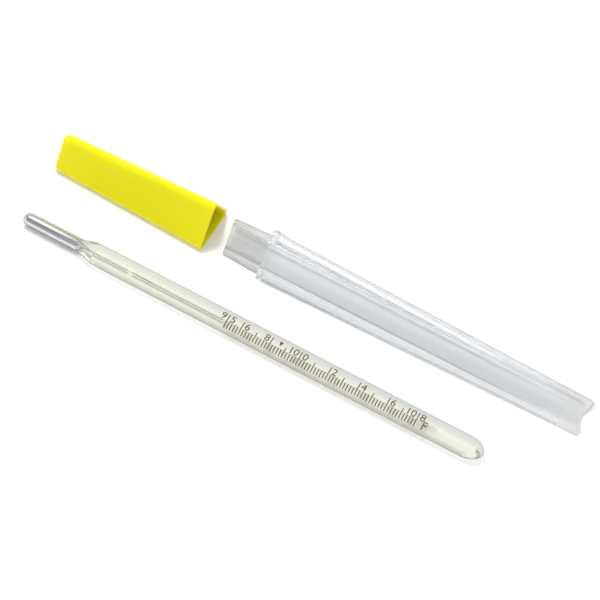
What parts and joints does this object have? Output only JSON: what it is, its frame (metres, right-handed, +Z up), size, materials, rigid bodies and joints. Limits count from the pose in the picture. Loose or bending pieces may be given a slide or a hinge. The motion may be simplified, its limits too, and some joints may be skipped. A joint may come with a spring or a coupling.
{
  "type": "clinical thermometer",
  "caption": "Glass mercury clinical thermometer with a Fahrenheit scale, lying beside its clear triangular travelling tube and the tube's yellow push-on cap.",
  "frame": {"origin": "on the table, under the middle of the laid-out set", "axes": "+X along all three pieces towards the tube's closed end, +Y from the thermometer towards its case, +Z up"},
  "size_m": [0.1218, 0.0264, 0.0112],
  "materials": {
    "clear_plastic": "clear moulded polystyrene, polished",
    "yellow_plastic": "opaque moulded plastic, glossy",
    "stem_glass": "drawn and flame-polished",
    "bulb_glass": "blown thin and polished",
    "enamel": "opaque ivory enamel fused into the glass",
    "mercury": "liquid metal mirror",
    "ink": "fired brown ink"
  },
  "bodies": {
    "case": {"case_tube": "clear_plastic"},
    "cap": {"case_cap": "yellow_plastic"},
    "thermometer": {"glass_stem": "stem_glass", "bulb_glass": "bulb_glass", "enamel_strip": "enamel", "mercury_reservoir": "mercury", "fifth_degree_marks": "ink", "degree_marks": "ink", "figured_marks": "ink", "normal_mark": "ink"},
    "column": {"mercury_column": "mercury"}
  },
  "joints": [
    {"name": "cap_slide", "type": "slide", "parent": "case", "child": "cap", "axis": [1, 0, 0], "range_m": [0, 0.013]},
    {"name": "thermometer_lift", "type": "slide", "parent": "case", "child": "thermometer", "axis": [0, 0, 1], "range_m": [0, 0.05]},
    {"name": "mercury_rise", "type": "slide", "parent": "thermometer", "child": "column", "axis": [1, 0, 0], "range_m": [0, 0.04436]}
  ]
}
